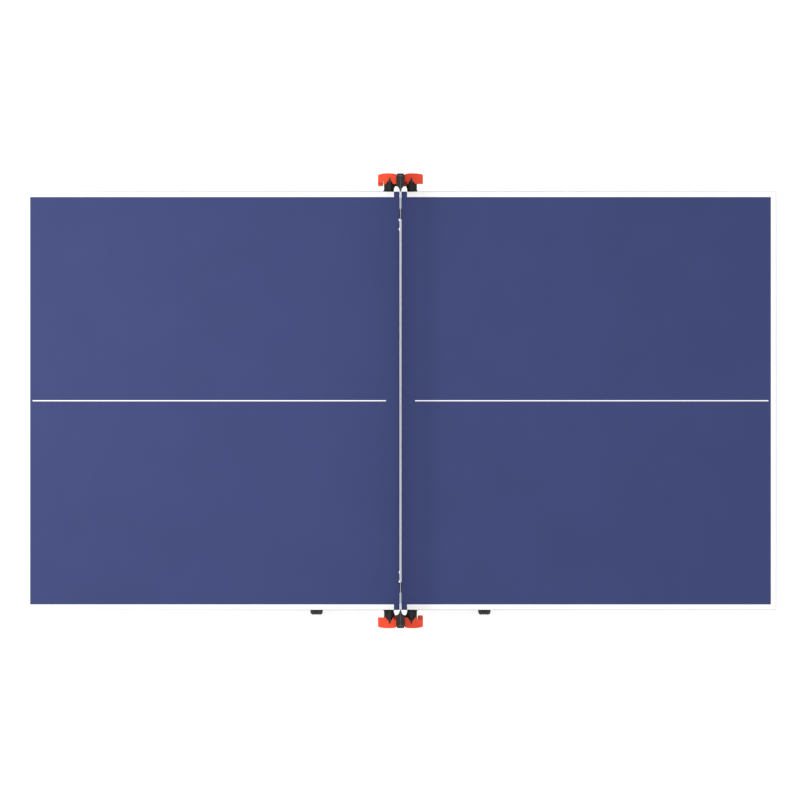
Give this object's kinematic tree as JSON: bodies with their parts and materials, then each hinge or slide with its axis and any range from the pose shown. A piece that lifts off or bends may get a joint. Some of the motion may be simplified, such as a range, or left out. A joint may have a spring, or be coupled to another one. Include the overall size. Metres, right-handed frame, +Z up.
{
  "type": "ping pong table",
  "caption": "Rollaway table tennis table with two folding halves on a wheeled centre chassis, self-standing legs, and a net left up between clamped posts.",
  "frame": {"origin": "on the floor under the centre of the table", "axes": "+X along the table's length towards the right half, +Y across it away from the side with the storage plungers, +Z up"},
  "size_m": [2.74, 1.6592, 0.9125],
  "materials": {
    "table_top": "blue lacquered board with white lines",
    "frame_paint": "dark powder coat",
    "zinc": "zinc-plated steel",
    "black_plastic": "textured black moulding",
    "post_plastic": "satin black moulding",
    "orange_plastic": "orange-red moulding",
    "white_plastic": "white moulding",
    "grey_plastic": "grey moulded wheel centre",
    "tyre_rubber": "black tread",
    "foot_rubber": "black foot pad",
    "net_mesh": "knotted dark net",
    "white_tape": "woven white tape",
    "net_cord": "braided cord"
  },
  "bodies": {
    "chassis": {"base_tubes": "frame_paint", "cross_tubes": "frame_paint", "uprights": "frame_paint", "link_plates": "frame_paint", "pivot_pins": "zinc", "tube_end_caps": "black_plastic", "castor_plates": "zinc", "castor_bolts": "zinc", "centre_columns": "frame_paint", "head_plates": "frame_paint", "lock_housings": "black_plastic", "net_posts": "post_plastic", "net_fabric": "net_mesh", "net_tape": "white_tape", "net_cord": "net_cord", "net_clips": "white_plastic"},
    "half_right": {"board_right": "table_top", "side_rails_right": "frame_paint", "cross_rails_right": "frame_paint", "hinge_plates_right": "frame_paint", "strike_plates_right": "zinc"},
    "legs_right": {"leg_tubes_right": "frame_paint", "leg_crossbar_right": "frame_paint"},
    "links_right": {"link_bars_right": "frame_paint"},
    "plunger_right": {"storage_plunger_right": "orange_plastic"},
    "pedal_right": {"brake_pedal_right": "orange_plastic"},
    "foot_back_right": {"levelling_foot_back_right": "foot_rubber"},
    "lock_back_right": {"lock_handle_back_right": "orange_plastic", "lock_bolt_back_right": "zinc"},
    "castor_back_right": {"castor_fork_back_right": "zinc"},
    "wheel_back_right": {"castor_hub_back_right": "grey_plastic", "castor_tyre_back_right": "tyre_rubber"},
    "foot_front_right": {"levelling_foot_front_right": "foot_rubber"},
    "lock_front_right": {"lock_handle_front_right": "orange_plastic", "lock_bolt_front_right": "zinc"},
    "castor_front_right": {"castor_fork_front_right": "zinc"},
    "wheel_front_right": {"castor_hub_front_right": "grey_plastic", "castor_tyre_front_right": "tyre_rubber"},
    "half_left": {"board_left": "table_top", "side_rails_left": "frame_paint", "cross_rails_left": "frame_paint", "hinge_plates_left": "frame_paint", "strike_plates_left": "zinc"},
    "legs_left": {"leg_tubes_left": "frame_paint", "leg_crossbar_left": "frame_paint"},
    "links_left": {"link_bars_left": "frame_paint"},
    "plunger_left": {"storage_plunger_left": "orange_plastic"},
    "pedal_left": {"brake_pedal_left": "orange_plastic"},
    "foot_back_left": {"levelling_foot_back_left": "foot_rubber"},
    "lock_back_left": {"lock_handle_back_left": "orange_plastic", "lock_bolt_back_left": "zinc"},
    "castor_back_left": {"castor_fork_back_left": "zinc"},
    "wheel_back_left": {"castor_hub_back_left": "grey_plastic", "castor_tyre_back_left": "tyre_rubber"},
    "foot_front_left": {"levelling_foot_front_left": "foot_rubber"},
    "lock_front_left": {"lock_handle_front_left": "orange_plastic", "lock_bolt_front_left": "zinc"},
    "castor_front_left": {"castor_fork_front_left": "zinc"},
    "wheel_front_left": {"castor_hub_front_left": "grey_plastic", "castor_tyre_front_left": "tyre_rubber"}
  },
  "joints": [
    {"name": "fold_right", "type": "hinge", "parent": "chassis", "child": "half_right", "pos_m": [0.345, 0, 0.715], "axis": [0, -1, 0], "range_deg": [0, 90]},
    {"name": "leg_right", "type": "hinge", "parent": "half_right", "child": "legs_right", "pos_m": [1.15, 0, 0.715], "axis": [0, -1, 0], "range_deg": [-90, 0]},
    {"name": "link_right", "type": "hinge", "parent": "chassis", "child": "links_right", "pos_m": [0.405, 0, 0.635], "axis": [0, -1, 0], "range_deg": [0, 90]},
    {"name": "plunger_slide_right", "type": "slide", "parent": "chassis", "child": "plunger_right", "axis": [0, 1, 0], "range_m": [0, 0.0085]},
    {"name": "foot_screw_back_right", "type": "slide", "parent": "legs_right", "child": "foot_back_right", "axis": [0, 0, -1], "range_m": [0, 0.01]},
    {"name": "lock_slide_back_right", "type": "slide", "parent": "chassis", "child": "lock_back_right", "axis": [0, -1, 0], "range_m": [0, 0.01]},
    {"name": "swivel_back_right", "type": "hinge", "parent": "chassis", "child": "castor_back_right", "pos_m": [0.308, 0.685, 0.146], "axis": [0, 0, 1], "continuous": true},
    {"name": "wheel_spin_back_right", "type": "hinge", "parent": "castor_back_right", "child": "wheel_back_right", "pos_m": [0.308, 0.647, 0.0625], "axis": [1, 0, 0], "continuous": true},
    {"name": "foot_screw_front_right", "type": "slide", "parent": "legs_right", "child": "foot_front_right", "axis": [0, 0, -1], "range_m": [0, 0.01]},
    {"name": "lock_slide_front_right", "type": "slide", "parent": "chassis", "child": "lock_front_right", "axis": [0, 1, 0], "range_m": [0, 0.01]},
    {"name": "swivel_front_right", "type": "hinge", "parent": "chassis", "child": "castor_front_right", "pos_m": [0.308, -0.685, 0.146], "axis": [0, 0, 1], "continuous": true},
    {"name": "wheel_spin_front_right", "type": "hinge", "parent": "castor_front_right", "child": "wheel_front_right", "pos_m": [0.308, -0.723, 0.0625], "axis": [1, 0, 0], "continuous": true},
    {"name": "pedal_press_right", "type": "hinge", "parent": "castor_back_right", "child": "pedal_right", "pos_m": [0.308, 0.709, 0.126], "axis": [-1, 0, 0], "range_deg": [0, 10]},
    {"name": "fold_left", "type": "hinge", "parent": "chassis", "child": "half_left", "pos_m": [-0.345, 0, 0.715], "axis": [0, 1, 0], "range_deg": [0, 90]},
    {"name": "leg_left", "type": "hinge", "parent": "half_left", "child": "legs_left", "pos_m": [-1.15, 0, 0.715], "axis": [0, 1, 0], "range_deg": [-90, 0]},
    {"name": "link_left", "type": "hinge", "parent": "chassis", "child": "links_left", "pos_m": [-0.405, 0, 0.635], "axis": [0, 1, 0], "range_deg": [0, 90]},
    {"name": "plunger_slide_left", "type": "slide", "parent": "chassis", "child": "plunger_left", "axis": [0, 1, 0], "range_m": [0, 0.0085]},
    {"name": "foot_screw_back_left", "type": "slide", "parent": "legs_left", "child": "foot_back_left", "axis": [0, 0, -1], "range_m": [0, 0.01]},
    {"name": "lock_slide_back_left", "type": "slide", "parent": "chassis", "child": "lock_back_left", "axis": [0, -1, 0], "range_m": [0, 0.01]},
    {"name": "swivel_back_left", "type": "hinge", "parent": "chassis", "child": "castor_back_left", "pos_m": [-0.308, 0.685, 0.146], "axis": [0, 0, 1], "continuous": true},
    {"name": "wheel_spin_back_left", "type": "hinge", "parent": "castor_back_left", "child": "wheel_back_left", "pos_m": [-0.308, 0.647, 0.0625], "axis": [1, 0, 0], "continuous": true},
    {"name": "foot_screw_front_left", "type": "slide", "parent": "legs_left", "child": "foot_front_left", "axis": [0, 0, -1], "range_m": [0, 0.01]},
    {"name": "lock_slide_front_left", "type": "slide", "parent": "chassis", "child": "lock_front_left", "axis": [0, 1, 0], "range_m": [0, 0.01]},
    {"name": "swivel_front_left", "type": "hinge", "parent": "chassis", "child": "castor_front_left", "pos_m": [-0.308, -0.685, 0.146], "axis": [0, 0, 1], "continuous": true},
    {"name": "wheel_spin_front_left", "type": "hinge", "parent": "castor_front_left", "child": "wheel_front_left", "pos_m": [-0.308, -0.723, 0.0625], "axis": [1, 0, 0], "continuous": true},
    {"name": "pedal_press_left", "type": "hinge", "parent": "castor_back_left", "child": "pedal_left", "pos_m": [-0.308, 0.709, 0.126], "axis": [-1, 0, 0], "range_deg": [0, 10]}
  ],
  "couplings": [
    {"joint": "leg_right", "follows": "fold_right", "ratio": -1},
    {"joint": "link_right", "follows": "fold_right", "ratio": 1},
    {"joint": "leg_left", "follows": "fold_left", "ratio": -1},
    {"joint": "link_left", "follows": "fold_left", "ratio": 1}
  ]
}
